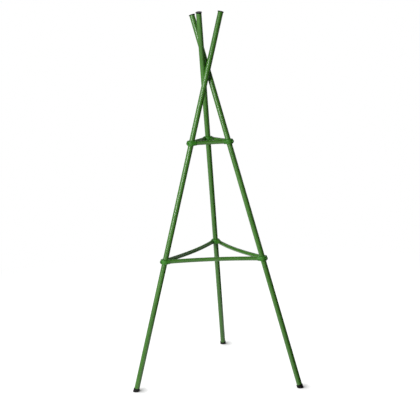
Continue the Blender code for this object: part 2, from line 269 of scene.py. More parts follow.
def copy_frame(index):
    """The frame of one of the pyramid's three like sides."""
    return pyramid_axis() @ Matrix.Rotation(TURN * index, 4, "Z")


def leg_line(legs):
    """The back leg's foot on the ground and its direction upwards."""
    apart = legs.diameter + legs.crossing_gap
    radius, height = legs.foot_circle, legs.crossing_height
    waist = apart * sqrt((3 + 0.75 * (radius / height) ** 2) / (9 + 0.75 * (apart / height) ** 2))
    twist = asin(waist / radius)
    foot = Vector((0, radius, 0))
    crossing = Vector((-waist * cos(twist), waist * sin(twist), height))
    return foot, (crossing - foot).normalized()


def frame_from(origin, x_axis, y_axis, z_axis):
    made = Matrix((x_axis, y_axis, z_axis)).transposed().to_4x4()
    made.translation = origin
    return made


def leg_frame(legs):
    """A frame at the back foot, on the ground: Z up the leg, X away from the pyramid's axis."""
    foot, up = leg_line(legs)
    outward = (foot - foot.dot(up) * up).normalized()
    return frame_from(foot, outward, up.cross(outward), up)


def point_at_height(legs, height):
    foot, direction = leg_line(legs)
    return foot + direction * (height / direction.z)


def corner_frame(legs, height):
    """A level frame at the back corner of a ring: Z up, X away from the pyramid's axis."""
    corner = point_at_height(legs, height)
    outward = Vector((corner.x, corner.y, 0)).normalized()
    return frame_from(corner, outward, LEVEL_UP.cross(outward), LEVEL_UP)


def side_frame(legs, height):
    """A level frame midway from the back to the front left corner: X along the side, Y inwards."""
    corner = point_at_height(legs, height)
    neighbour = Matrix.Rotation(TURN, 3, "Z") @ corner
    chord = (neighbour - corner).normalized()
    return frame_from((neighbour + corner) / 2, chord, LEVEL_UP.cross(chord), LEVEL_UP)


def half_chord(legs, height):
    """Half the length between neighbouring corners of the ring at that height."""
    corner = point_at_height(legs, height)
    return sqrt(3) / 2 * sqrt(corner.x ** 2 + corner.y ** 2)


def tube_start(legs, caps, gap):
    """Distance along the leg from the ground to the tube's lower end, over the cap's sole."""
    up = leg_line(legs)[1]
    tilt_drop = legs.diameter / 2 * sqrt(1 - up.z ** 2)
    return (caps.foot_sole + gap + tilt_drop) / up.z


def tube_length(legs, name):
    """The front right leg's tube is a little shorter than the other two."""
    return legs.tube_length - legs.front_right_cut if name == "front_right" else legs.tube_length


def ring_facts(rings, legs):
    """Name, height and turn of each ring."""
    lower = "lower", rings.lower_height, rings.lower_turn
    upper = "upper", legs.crossing_height - rings.upper_drop, rings.upper_turn
    return [lower, upper]


# Making meshes


def new_object(name, data):
    """An object in the scene."""
    made = bpy.data.objects.new(name, data)
    bpy.context.scene.collection.objects.link(made)
    return made


def plain_mesh(bm, name):
    """The edited mesh as it is."""
    mesh = bpy.data.meshes.new(name)
    bm.to_mesh(mesh)
    bm.free()
    return mesh


def mesh_from(bm, name):
    """A closed mesh with no doubled points and its faces turned outwards."""
    bmesh.ops.remove_doubles(bm, verts=bm.verts, dist=MERGE_DISTANCE)
    bmesh.ops.dissolve_degenerate(bm, edges=bm.edges, dist=MERGE_DISTANCE)
    bmesh.ops.recalc_face_normals(bm, faces=bm.faces)
    if bm.calc_volume(signed=True) < 0:
        bmesh.ops.reverse_faces(bm, faces=bm.faces)
    return plain_mesh(bm, name)


def spun(profile, sides, closed):
    """A surface turned about Z from a row of (radius, height) points, or from a closed ring."""
    bm = bmesh.new()
    points = [bm.verts.new((radius, 0, height)) for radius, height in profile]
    followers = points[1:] + points[:1] if closed else points[1:]
    outline = points + [bm.edges.new(pair) for pair in zip(points, followers)]
    bmesh.ops.spin(bm, geom=outline, axis=(0, 0, 1), angle=2 * pi, steps=sides, use_merge=True)
    return bm


def turned(profile, sides, name):
    """A solid turned about Z from a row of points. Ends short of the axis are filled flat."""
    bm = spun(profile, sides, closed=False)
    bmesh.ops.remove_doubles(bm, verts=bm.verts, dist=MERGE_DISTANCE)
    bmesh.ops.holes_fill(bm, edges=[edge for edge in bm.edges if edge.is_boundary])
    return mesh_from(bm, name)


def rounded_corner(radius, height, rounding, steps=ROUNDING_STEPS, upper=True):
    """Points of a quarter round, going up: at a body's upper outside corner or its lower one."""
    turns = [pi / 2 * step / steps for step in range(steps + 1)]
    inset = radius - rounding
    if upper:
        return [(inset + rounding * cos(a), height - rounding + rounding * sin(a)) for a in turns]
    return [(inset + rounding * sin(a), height + rounding - rounding * cos(a)) for a in turns]


def along(origin, direction):
    """A frame with its Z along a direction."""
    made = direction.to_track_quat("Z", "Y").to_matrix().to_4x4()
    made.translation = origin
    return made


def combine(body, tool, operation):
    """The exact Boolean of two meshes, as a new mesh."""
    parts = [new_object("combine", mesh) for mesh in (body, tool)]
    change = parts[0].modifiers.new("combine", "BOOLEAN")
    change.operation = operation
    change.object = parts[1]
    bm = bmesh.new()
    bm.from_object(parts[0], bpy.context.evaluated_depsgraph_get())
    for part in parts:
        bpy.data.objects.remove(part)
    return mesh_from(bm, body.name)


def moved(mesh, matrix):
    mesh.transform(matrix)
    return mesh


def worked(body, operation, profile, sides, matrix):
    """The body with a turned shape joined to it or cut out of it."""
    return combine(body, moved(turned(profile, sides, "tool"), matrix), operation)


def only(pieces, kind):
    """The vertices, or the edges, among the pieces that an operator made."""
    return [piece for piece in pieces if isinstance(piece, kind)]


def keep_place(mesh, place_of):
    """Keeps each point's place across and along its tube, for marks that follow the tube."""
    layer = mesh.attributes.new("tube_place", "FLOAT_VECTOR", "POINT")
    for vertex in mesh.vertices:
        layer.data[vertex.index].vector = place_of(vertex.co)


def add_piece(name, mesh, matrix, finish, node):
    """Adds a piece that rides on the frame and stands for its CAD node."""
    own = mesh.copy()
    own.name = name
    own.transform(matrix)
    own.materials.clear()
    own.materials.append(finish)
    own.shade_smooth()
    own.set_sharp_from_angle(angle=SMOOTH_ANGLE)
    piece = new_object(name, own)
    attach(piece, "root")
    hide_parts(node)
    return piece


def add_copies(mesh, names, place, finish, piece, node):
    """Adds a piece's three turned copies, under their names for the piece and for the node."""
    return [
        add_piece(piece + name, mesh, copy_frame(index) @ place, finish, node + name)
        for index, name in enumerate(names)
    ]


# The pieces


def leg_mesh(settings, tube):
    """A straight tube with rounded rims in the leg's own frame, drilled for its two screws."""
    legs, fit = settings.legs, settings.connectors
    start = tube_start(legs, settings.caps, fit.fit_gap)
    end = start + tube
    outside, inside = legs.diameter / 2, legs.diameter / 2 - legs.wall
    rim = legs.rim_rounding
    loop = [(inside, start + rim), (inside + rim, start)]
    loop += [(outside - rim, start), (outside, start + rim)]
    loop += [(outside, end - rim), (outside - rim, end), (inside + rim, end), (inside, end - rim)]
    mesh = mesh_from(spun(loop, legs.sides, closed=True), "leg")
    drill = fit.screw_diameter / 2 + fit.fit_gap
    hole = [(drill, 0), (drill, legs.diameter)]
    for _, height, _ in ring_facts(settings.rings, legs):
        hole_frame = leg_frame(legs).inverted() @ corner_frame(legs, height) @ OUTWARDS
        mesh = worked(mesh, "DIFFERENCE", hole, DRILL_SIDES, hole_frame)
    keep_place(mesh, lambda co: co)
    return mesh


def top_cap_mesh(settings):
    """A hollow ridged plug under a crowned flange, with the flange's underside at Z = 0."""
    legs, caps = settings.legs, settings.caps
    flange = legs.diameter / 2 + caps.top_overhang
    plug = legs.diameter / 2 - legs.wall - settings.connectors.fit_gap
    core = plug - caps.plug_ridge
    hollow = core - caps.plug_wall
    web = caps.top_height
    profile = [(0, -web), (hollow, -web), (hollow, -caps.plug_length), (core, -caps.plug_length)]
    pitch = caps.plug_length / (PLUG_RIDGES + 1)
    for ridge in range(PLUG_RIDGES, 0, -1):
        profile += [(plug, -pitch * ridge), (core, -pitch * (ridge - 0.5))]
    profile += [(core, 0), (flange - CAP_CHAMFER, 0), (flange, CAP_CHAMFER)]
    profile += rounded_corner(flange, caps.top_height, caps.top_rounding, LARGE_STEPS)[:-1]
    top = caps.top_height + caps.top_crown
    edge = flange - caps.top_rounding
    for step in range(CROWN_STEPS + 1):
        radius = edge + (caps.gate_radius * GATE_RIM - edge) * step / CROWN_STEPS
        profile.append((radius, caps.top_height + caps.top_crown * (1 - (radius / edge) ** 2)))
    profile += [(caps.gate_radius, top - caps.gate_depth), (0, top - caps.gate_depth)]
    return turned(profile, legs.sides, "top_cap")


def foot_cap_mesh(settings):
    """A cup over the tube's lower end, in the leg's own frame, cut off level with the ground."""
    legs, caps, gap = settings.legs, settings.caps, settings.connectors.fit_gap
    bore = legs.diameter / 2 + gap
    outside = bore + caps.foot_wall
    floor = tube_start(legs, caps, gap) - gap
    mouth = floor + caps.foot_grip
    below = -legs.diameter
    flared = outside + caps.foot_flare
    profile = [(0, below), (flared, below), (flared, 0), (outside, floor)]
    profile += rounded_corner(outside, mouth, caps.foot_rounding)
    profile += [(bore + MOUTH_CHAMFER, mouth), (bore, mouth - MOUTH_CHAMFER)]
    profile += [(bore, floor), (0, floor)]
    bm = bmesh.new()
    bm.from_mesh(turned(profile, legs.sides, "foot_cap"))
    up = leg_frame(legs).to_3x3().inverted() @ LEVEL_UP
    body = bm.verts[:] + bm.edges[:] + bm.faces[:]
    cut = bmesh.ops.bisect_plane(bm, geom=body, plane_co=(0, 0, 0), plane_no=up, clear_inner=True)
    sole_edges = only(cut["geom_cut"], BMEdge)
    bmesh.ops.edgeloop_fill(bm, edges=sole_edges)
    rounding = {"offset": caps.sole_rounding, "segments": EDGE_STEPS, "profile": 0.5}
    bmesh.ops.bevel(bm, geom=sole_edges, affect="EDGES", material=-1, **rounding)
    return mesh_from(bm, "foot_cap")


def corner_radii(settings):
    """Radius of the barrel and of a collar, and how far outside the leg's axis a bar passes."""
    fit = settings.connectors
    barrel = settings.legs.diameter / 2 + fit.barrel_wall
    collar = settings.rings.bar_diameter / 2 + fit.fit_gap + fit.collar_wall
    return barrel, collar, barrel - collar - fit.collar_inset


def screw_seat(settings):
    """Distance from the leg's axis to the face that the screw's head sits on."""
    fit = settings.connectors
    barrel = corner_radii(settings)[0]
    return barrel + fit.boss_proud - fit.screw_head_sink


def socket_frames(settings, height, turn):
    """The two frames at a corner whose Z runs into the bars, in the corner's own level frame."""
    legs = settings.legs
    to_corner = corner_frame(legs, height).inverted()
    side = side_frame(legs, height)
    offset = corner_radii(settings)[2]
    start = side @ Vector((-half_chord(legs, height), -offset, 0))
    heading = side.to_3x3() @ Vector((cos(turn), sin(turn), 0))
    first = to_corner @ along(start, heading)
    mirror = Matrix.Diagonal((1, -1, 1, 1))
    return [first, mirror @ first @ mirror]


def connector_mesh(settings, height, turn):
    """A moulded corner: barrel, collars, screw boss and spigots, bored for the slanting leg."""
    legs, rings, fit = settings.legs, settings.rings, settings.connectors
    barrel, collar, _ = corner_radii(settings)
    half = collar + fit.barrel_lip
    reach = barrel + fit.collar_proud
    edge = fit.edge_rounding
    profile = rounded_corner(barrel, -half, fit.barrel_rounding, LARGE_STEPS, upper=False)
    profile += rounded_corner(barrel, half, fit.barrel_rounding, LARGE_STEPS)
    mesh = turned(profile, BARREL_SIDES, "connector")
    sockets = socket_frames(settings, height, turn)
    profile = [(collar, 0)] + rounded_corner(collar, reach, edge, EDGE_STEPS)
    for socket in sockets:
        mesh = worked(mesh, "UNION", profile, COLLAR_SIDES, socket)
    boss = fit.screw_head / 2 + fit.fit_gap + fit.boss_wall
    boss_reach = barrel + fit.boss_proud
    profile = [(boss, barrel - BOSS_ROOT)]
    profile += rounded_corner(boss, boss_reach, edge, EDGE_STEPS)
    mesh = worked(mesh, "UNION", profile, SMALL_SIDES, OUTWARDS)
    leg_way = corner_frame(legs, height).to_3x3().inverted() @ leg_line(legs)[1]
    bore = legs.diameter / 2 + fit.fit_gap
    profile = [(bore, -2 * half), (bore, 2 * half)]
    mesh = worked(mesh, "DIFFERENCE", profile, BORE_SIDES, along(Vector(), leg_way))
    floor = reach - fit.collar_depth - fit.fit_gap
    tip = floor + fit.spigot_length
    bar = rings.bar_diameter / 2
    recess = [(bar + fit.fit_gap, floor), (bar + fit.fit_gap, tip)]
    bar_inside = bar - rings.bar_wall - fit.fit_gap
    spigot = [(bar_inside, floor - SPIGOT_ROOT), (bar_inside, tip - SPIGOT_CHAMFER)]
    spigot += [(bar_inside - SPIGOT_CHAMFER, tip)]
    for socket in sockets:
        mesh = worked(mesh, "DIFFERENCE", recess, COLLAR_SIDES, socket)
        mesh = worked(mesh, "UNION", spigot, SMALL_SIDES, socket)
    shank = fit.screw_diameter / 2 + fit.fit_gap
    head = fit.screw_head / 2 + fit.fit_gap
    seat = screw_seat(settings)
    profile = [(shank, 0), (shank, seat), (head, seat), (head, boss_reach + seat)]
    return worked(mesh, "DIFFERENCE", profile, SMALL_SIDES, OUTWARDS)


def bar_mesh(settings, height, turn):
    """The outside of a tube with straight ends for the collars and an inward bow between them."""
    legs, rings, fit = settings.legs, settings.rings, settings.connectors
    barrel, _, offset = corner_radii(settings)
    heading = Vector((cos(turn), sin(turn), 0))
    corner = Vector((-half_chord(legs, height), -offset, 0))
    reach = barrel + fit.collar_proud
    end = corner + heading * (reach - fit.collar_depth)
    mouth = corner + heading * reach
    bend_radius = -mouth.x / sin(turn)
    centre = Vector((0, mouth.y - bend_radius * cos(turn), 0))
    radius = rings.bar_diameter / 2
    bm = bmesh.new()
    bmesh.ops.create_circle(bm, radius=radius, segments=rings.sides, matrix=along(end, heading))
    grown = bmesh.ops.extrude_edge_only(bm, edges=bm.edges[:])["geom"]
    bmesh.ops.translate(bm, verts=only(grown, BMVert), vec=mouth - end)
    rim = only(grown, BMVert) + only(grown, BMEdge)
    bent = bmesh.ops.spin(
        bm, geom=rim, cent=centre, axis=(0, 0, 1), angle=-2 * turn, steps=rings.steps
    )
    rim = only(bent["geom_last"], BMEdge)
    grown = bmesh.ops.extrude_edge_only(bm, edges=rim)["geom"]
    way_out = Vector((heading.x, -heading.y, 0)) * fit.collar_depth
    bmesh.ops.translate(bm, verts=only(grown, BMVert), vec=way_out)
    mesh = mesh_from(bm, "bar")

    def place_of(co):
        """Across, above and along the bar's bent centre line."""
        around = co - centre
        return (around.xy.length - bend_radius, co.z, bend_radius * atan2(around.x, around.y))

    keep_place(mesh, place_of)
    return mesh


def screw_mesh(settings):
    """A pan-head screw along Z with a cross recess, its head on Z = 0 and its point below."""
    legs, fit = settings.legs, settings.connectors
    shank, head, height = fit.screw_diameter / 2, fit.screw_head / 2, fit.screw_head_height
    reach = screw_seat(settings) + fit.fit_gap - (legs.diameter / 2 - legs.wall) + fit.screw_bite
    profile = [(0, -reach), (shank, -reach + SCREW_POINT), (shank, 0), (head, 0)]
    profile += rounded_corner(head, height, height / 2, HEAD_STEPS) + [(0, height)]
    mesh = turned(profile, SMALL_SIDES, "screw")
    for quarter in (0, pi / 2):
        bm = bmesh.new()
        bmesh.ops.create_cube(bm, size=1)
        for vertex in bm.verts:
            x, y, z = vertex.co
            wide = RECESS_WIDE if z > 0 else RECESS_NARROW
            vertex.co = Vector((x * wide, y * RECESS_THICK, height + z * RECESS_DEEP))
        slot = mesh_from(bm, "slot")
        mesh = combine(mesh, moved(slot, Matrix.Rotation(quarter, 4, "Z")), "DIFFERENCE")
    return mesh


# Shader building


def is_socket(value):
    return isinstance(value, bpy.types.NodeSocket)


def add(tree, kind, inputs=None, **settings):
    """Adds a shader node, sets its settings, and sets or links its inputs."""
    node = tree.nodes.new("ShaderNode" + kind)
    for name, value in settings.items():
        setattr(node, name, value)
    for socket, value in (inputs or {}).items():
        if is_socket(value):
            tree.links.new(value, node.inputs[socket])
        else:
            node.inputs[socket].default_value = value
    return node


def maths(tree, operation, first, second=0.0, clamp=False):
    node = add(tree, "Math", {0: first, 1: second}, operation=operation, use_clamp=clamp)
    return node.outputs[0]


def noise(tree, place, scale, detail=2.0, roughness=0.5):
    inputs = {"Vector": place, "Scale": scale, "Detail": detail, "Roughness": roughness}
    return add(tree, "TexNoise", inputs).outputs["Fac"]


def ramp(tree, value, start, end):
    """0 up to the start, 1 from the end on, and smooth between them."""
    inputs = {"Value": value, "From Min": start, "From Max": end}
    return add(tree, "MapRange", inputs, interpolation_type="SMOOTHSTEP").outputs["Result"]


def specks(tree, place, start, end, **look):
    """Noise whose high spots alone are kept."""
    return ramp(tree, noise(tree, place, **look), start, end)


def stretched(tree, place, scale):
    return add(tree, "Mapping", {"Vector": place, "Scale": scale}).outputs["Vector"]


def blend(tree, amount, first, second):
    """Mixes two colours, each a socket or an (r, g, b), through the Mix node's colour sockets."""
    inputs = {"Factor": amount}
    for socket, value in ((6, first), (7, second)):
        inputs[socket] = value if is_socket(value) else (*value, 1)
    return add(tree, "Mix", inputs, data_type="RGBA").outputs[2]


def tinted(tree, layers, body, **tints):
    """A body's colour with others mixed in, each by a share of the layer that names it."""
    for name, (share, colour) in tints.items():
        body = blend(tree, maths(tree, "MULTIPLY", layers[name], share), body, colour)
    return body


def weighted(tree, layers, base=None, **weights):
    """The sum of a plain base and of each named layer times its weight."""
    total = base
    for name, weight in weights.items():
        value = maths(tree, "MULTIPLY", layers[name], weight)
        total = value if total is None else maths(tree, "ADD", total, value)
    return total


def new_group(name, inputs, outputs):
    """A shader node group with its named sockets. An input without a default takes a place."""
    tree = bpy.data.node_groups.new(name, "ShaderNodeTree")
    for socket, value in inputs.items():
        kind = "Vector" if value is None else "Float"
        made = tree.interface.new_socket(socket, in_out="INPUT", socket_type="NodeSocket" + kind)
        if value is not None:
            made.default_value = value
    for socket in outputs:
        tree.interface.new_socket(socket, in_out="OUTPUT", socket_type="NodeSocketFloat")
    return tree, tree.nodes.new("NodeGroupInput").outputs, tree.nodes.new("NodeGroupOutput").inputs


def effect(tree, build, inputs):
    """Places an effect's node group, which the finishes share and the first one builds."""
    group = bpy.data.node_groups.get(build.__name__) or build(build.__name__)
    return add(tree, "Group", inputs, node_tree=group).outputs


def faded(tree, apart, reach):
    """1 at no distance, down to 0 at the reach and past it."""
    return maths(tree, "SUBTRACT", 1.0, maths(tree, "DIVIDE", apart, reach), clamp=True)


def surface_grain(name):
    """Slow tone changes, fine orange peel and a slight waviness of a coated or moulded surface."""
    inputs = {"Place": None, "Tone Scale": 9.0, "Peel Scale": 900.0}
    tree, given, result = new_group(name, inputs, ["Tone", "Peel", "Wave"])
    slow = noise(tree, given["Place"], given["Tone Scale"], detail=4.0, roughness=0.6)
    peel = noise(tree, given["Place"], given["Peel Scale"])
    wave = noise(tree, given["Place"], scale=85.0, detail=1.0, roughness=0.4)
    tree.links.new(ramp(tree, slow, 0.3, 0.7), result["Tone"])
    tree.links.new(peel, result["Peel"])
    tree.links.new(wave, result["Wave"])
    return tree


def rub_marks(name):
    """Fine rubbed streaks, thickest at a level and fading away from it."""
    inputs = {"Place": None, "Height": 0.0, "Level": 0.5, "Reach": 0.05, "Amount": 0.5}
    tree, given, result = new_group(name, inputs, ["Mask"])
    apart = maths(tree, "ABSOLUTE", maths(tree, "SUBTRACT", given["Height"], given["Level"]))
    near = faded(tree, apart, given["Reach"])
    drawn = stretched(tree, given["Place"], (700, 700, 22))
    lines = specks(tree, drawn, 0.56, 0.72, scale=1.0, detail=3.0, roughness=0.6)
    patches = specks(tree, given["Place"], 0.42, 0.62, scale=60.0)
    worn = maths(tree, "MULTIPLY", lines, patches)
    near = maths(tree, "MULTIPLY", near, given["Amount"])
    tree.links.new(maths(tree, "MULTIPLY", worn, near, clamp=True), result["Mask"])
    return tree


def settled_dust(name):
    """Fine dust that thins out with height above the ground."""
    inputs = {"Place": None, "Height": 0.0, "Reach": 0.05}
    tree, given, result = new_group(name, inputs, ["Mask"])
    low = faded(tree, given["Height"], given["Reach"])
    cloud = specks(tree, given["Place"], 0.35, 0.75, scale=140.0, detail=5.0, roughness=0.7)
    low = maths(tree, "POWER", low, 2.0)
    tree.links.new(maths(tree, "MULTIPLY", low, cloud, clamp=True), result["Mask"])
    return tree


def new_finish(name):
    finish = bpy.data.materials.new(name)
    finish.use_nodes = True
    return finish


def principled(tree):
    return tree.nodes["Principled BSDF"]


def object_place(tree):
    """A point's own place on its piece, and its height."""
    place = add(tree, "TexCoord").outputs["Object"]
    return place, add(tree, "SeparateXYZ", {0: place}).outputs["Z"]


def grain_layers(tree, place, **scales):
    """The grain's three layers, by name."""
    inputs = {"Place": place}
    for name, scale in scales.items():
        inputs[name.capitalize() + " Scale"] = scale
    grain = effect(tree, surface_grain, inputs)
    return {name: grain[name.capitalize()] for name in ("tone", "peel", "wave")}


def ring_levels(settings):
    return [height for _, height, _ in ring_facts(settings.rings, settings.legs)]


def dust_mask(tree, place, height, reach):
    return effect(tree, settled_dust, {"Place": place, "Height": height, "Reach": reach})["Mask"]


def highest(tree, masks):
    """The greatest of several masks at each point."""
    top = masks[0]
    for mask in masks[1:]:
        top = maths(tree, "MAXIMUM", top, mask)
    return top


def dress(tree, body, rough, surface, relief):
    """Gives the shader its colour, its roughness and a bump as high as the relief."""
    inputs = principled(tree).inputs
    tree.links.new(body, inputs["Base Color"])
    tree.links.new(rough, inputs["Roughness"])
    normal = add(tree, "Bump", {"Height": surface, "Distance": relief}).outputs["Normal"]
    tree.links.new(normal, inputs["Normal"])


def coating(tree, settings):
    """Green plastic on steel tube, with drawn lines along it, rubs at the corners and dust."""
    colours = settings.finishes
    place, height = object_place(tree)
    own = add(tree, "Attribute", attribute_name="tube_place").outputs["Vector"]
    layers = grain_layers(tree, place)
    rubs = []
    for level in ring_levels(settings):
        inputs = {"Place": own, "Height": height, "Level": level, "Reach": 0.06, "Amount": 0.8}
        rubs.append(effect(tree, rub_marks, inputs)["Mask"])
    layers["rubs"] = highest(tree, rubs)
    layers["dust"] = dust_mask(tree, place, height, reach=0.09)
    drawn = stretched(tree, own, (520, 520, 3))
    layers["lines"] = noise(tree, drawn, scale=1.0, detail=3.0, roughness=0.55)
    thin = ramp(tree, weighted(tree, layers, tone=0.7, lines=0.4), start=0.1, end=1.0)
    body = blend(tree, thin, colours.coating, colours.coating_light)
    body = tinted(tree, layers, body, rubs=(0.55, colours.scuff), dust=(0.18, colours.dust))
    rough = weighted(tree, layers, base=0.17, tone=0.06, lines=0.06, rubs=0.20, dust=0.30)
    surface = weighted(tree, layers, peel=0.12, wave=1.0, lines=0.10, rubs=-0.08)
    dress(tree, body, rough, surface, relief=0.00010)


def moulding(tree, settings):
    """Green plastic with a fine spark texture, flow tones, a parting line and rubbed spots."""
    colours = settings.finishes
    place, height = object_place(tree)
    layers = grain_layers(tree, place, tone=60.0, peel=1600.0)
    seams = []
    for level in ring_levels(settings):
        apart = maths(tree, "ABSOLUTE", maths(tree, "SUBTRACT", height, level))
        seams.append(ramp(tree, apart, start=0.00035, end=0.0001))
    layers["seam"] = highest(tree, seams)
    layers["spots"] = specks(tree, place, 0.62, 0.78, scale=420.0, detail=4.0, roughness=0.7)
    body = blend(tree, layers["tone"], colours.moulding, colours.moulding_light)
    body = tinted(tree, layers, body, spots=(0.25, colours.scuff))
    rough = weighted(tree, layers, base=0.34, tone=0.08, spots=0.15, seam=0.08)
    surface = weighted(tree, layers, peel=0.30, wave=0.5, seam=1.0)
    dress(tree, body, rough, surface, relief=0.00012)
    principled(tree).inputs["Specular IOR Level"].default_value = 0.35


def cap_plastic(tree, settings):
    """Black moulded plastic, slightly rubbed, dusty near the ground."""
    colours = settings.finishes
    place, height = object_place(tree)
    layers = grain_layers(tree, place, tone=90.0, peel=1300.0)
    layers["spots"] = specks(tree, place, 0.55, 0.75, scale=350.0, detail=4.0, roughness=0.7)
    layers["dust"] = dust_mask(tree, place, height, reach=0.02)
    light = colours.cap_light
    tints = {"tone": (0.5, light), "spots": (0.3, light), "dust": (0.08, colours.dust)}
    body = tinted(tree, layers, colours.cap, **tints)
    rough = weighted(tree, layers, base=0.36, tone=0.10, spots=0.15, dust=0.15)
    surface = weighted(tree, layers, peel=0.5, wave=0.3)
    dress(tree, body, rough, surface, relief=0.00010)
    principled(tree).inputs["Specular IOR Level"].default_value = 0.2


def screw_paint(tree, settings):
    """Green paint on steel, worn through in specks."""
    colours = settings.finishes
    place, _ = object_place(tree)
    layers = grain_layers(tree, place, tone=250.0, peel=2500.0)
    layers["chips"] = specks(tree, place, 0.60, 0.66, scale=900.0, detail=3.0, roughness=0.6)
    body = tinted(tree, layers, colours.screw, tone=(0.6, colours.coating_light))
    body = blend(tree, layers["chips"], body, colours.bare_steel)
    tree.links.new(weighted(tree, layers, chips=0.9), principled(tree).inputs["Metallic"])
    rough = weighted(tree, layers, base=0.30, tone=0.1)
    surface = weighted(tree, layers, peel=0.5, chips=-0.6)
    dress(tree, body, rough, surface, relief=0.00006)


# Operators


def finish_named(name, build, settings):
    """The finish of that name, built where it is first asked for."""
    finish = bpy.data.materials.get(name)
    if finish is None:
        finish = new_finish(name)
        build(finish.node_tree, settings)
    return finish


class PlantSupportSettings(PropertyGroup):
    """Everything that a user can change."""

    legs: PointerProperty(type=LegSizes)
    rings: PointerProperty(type=RingSizes)
    connectors: PointerProperty(type=ConnectorSizes)
    caps: PointerProperty(type=CapSizes)
    finishes: PointerProperty(type=Finishes)
    stage: PointerProperty(type=StageSettings)


class SUPPORT_OT_legs(Operator):
    """Build the three coated leg tubes"""

    bl_idname = "plant_support.legs"
    bl_label = "Legs"

    def execute(self, context):
        settings = context.scene.plant_support
        finish = finish_named("coated_tube_finish", coating, settings)
        for index, name in enumerate(COPIES):
            mesh = leg_mesh(settings, tube_length(settings.legs, name))
            matrix = copy_frame(index) @ leg_frame(settings.legs)
            add_piece("leg_" + name, mesh, matrix, finish, "leg_tube_" + name)
        return {"FINISHED"}


class SUPPORT_OT_bars(Operator):
    """Build the six bowed bars of the two rings"""

    bl_idname = "plant_support.bars"
    bl_label = "Ring bars"

    def execute(self, context):
        settings = context.scene.plant_support
        finish = finish_named("coated_tube_finish", coating, settings)
        for ring, height, turn in ring_facts(settings.rings, settings.legs):
            mesh = bar_mesh(settings, height, turn)
            side = side_frame(settings.legs, height)
            names = ring + "_ring_bar_", ring + "_bar_"
            for piece in add_copies(mesh, BAR_COPIES, side, finish, *names):
                wall = piece.modifiers.new("wall", "SOLIDIFY")
                wall.thickness = settings.rings.bar_wall
                wall.offset = -1
                wall.use_even_offset = True
        return {"FINISHED"}


class SUPPORT_OT_connectors(Operator):
    """Build the six moulded corner connectors"""

    bl_idname = "plant_support.connectors"
    bl_label = "Corner connectors"

    def execute(self, context):
        settings = context.scene.plant_support
        finish = finish_named("connector_finish", moulding, settings)
        for ring, height, turn in ring_facts(settings.rings, settings.legs):
            mesh = connector_mesh(settings, height, turn)
            corner = corner_frame(settings.legs, height)
            add_copies(mesh, COPIES, corner, finish, ring + "_corner_", ring + "_connector_")
        return {"FINISHED"}


class SUPPORT_OT_screws(Operator):
    """Build the six fixing screws"""

    bl_idname = "plant_support.screws"
    bl_label = "Fixing screws"

    def execute(self, context):
        settings = context.scene.plant_support
        finish = finish_named("screw_finish", screw_paint, settings)
        mesh = screw_mesh(settings)
        rise = screw_seat(settings) + settings.connectors.fit_gap
        for ring, height, _ in ring_facts(settings.rings, settings.legs):
            corner = corner_frame(settings.legs, height)
            hole = corner @ OUTWARDS @ Matrix.Translation((0, 0, rise))
            add_copies(mesh, COPIES, hole, finish, ring + "_fixing_screw_", ring + "_screw_")
        return {"FINISHED"}


class SUPPORT_OT_caps(Operator):
    """Build the three top caps and the three foot caps"""

    bl_idname = "plant_support.caps"
    bl_label = "Caps"

    def execute(self, context):
        settings = context.scene.plant_support
        legs, gap = settings.legs, settings.connectors.fit_gap
        finish = finish_named("black_cap_finish", cap_plastic, settings)
        top = top_cap_mesh(settings)
        foot = foot_cap_mesh(settings)
        for index, name in enumerate(COPIES):
            leg = copy_frame(index) @ leg_frame(legs)
            rise = tube_start(legs, settings.caps, gap) + tube_length(legs, name) + gap
            seat = Matrix.Translation((0, 0, rise))
            add_piece("end_plug_" + name, top, leg @ seat, finish, "top_cap_" + name)
            add_piece("foot_cup_" + name, foot, leg, finish, "foot_cap_" + name)
        return {"FINISHED"}


# The stage


def facing(start, end):
    """A turn whose Z points from one place to another."""
    return (Vector(end) - Vector(start)).to_track_quat("Z", "Y")


def add_lamp(name, place, target, size, energy):
    """A soft lamp that shines along its -Z at a target."""
    data = bpy.data.lights.new(name, "AREA")
    data.shape = "RECTANGLE"
    data.size, data.size_y = size
    data.energy = energy
    lamp = new_object(name, data)
    lamp.location = place
    lamp.rotation_euler = facing(target, place).to_euler()
    lamp.visible_camera = False


def add_flag(name, place, target, size):
    """A matt black card that keeps the white room out of the reflections, unseen by the camera."""
    bm = bmesh.new()
    bmesh.ops.create_grid(bm, x_segments=1, y_segments=1, size=0.5)
    turn = facing(place, target).to_matrix().to_4x4()
    bmesh.ops.scale(bm, verts=bm.verts, vec=(*size, 1))
    bmesh.ops.transform(bm, verts=bm.verts, matrix=Matrix.Translation(place) @ turn)
    mesh = plain_mesh(bm, name)
    mesh.materials.append(matt_finish(name + "_finish", (0.01, 0.01, 0.01), roughness=0.9))
    card = new_object(name, mesh)
    card.visible_camera = False
    card.visible_shadow = False


def matt_finish(name, colour, roughness):
    """A plain finish with no gloss."""
    finish = new_finish(name)
    inputs = principled(finish.node_tree).inputs
    inputs["Base Color"].default_value = (*colour, 1)
    inputs["Roughness"].default_value = roughness
    inputs["Specular IOR Level"].default_value = 0.0
    return finish


def seen_rays(tree):
    """1 for what is seen, straight or in a reflection, and 0 for the light on surfaces."""
    rays = add(tree, "LightPath").outputs
    seen = maths(tree, "MAXIMUM", rays["Is Camera Ray"], rays["Is Glossy Ray"])
    return maths(tree, "MAXIMUM", seen, rays["Is Transmission Ray"])


def glow(tree, level):
    """White as bright as its level, lit or not."""
    return add(tree, "Emission", {"Color": (1, 1, 1, 1), "Strength": level}).outputs[0]


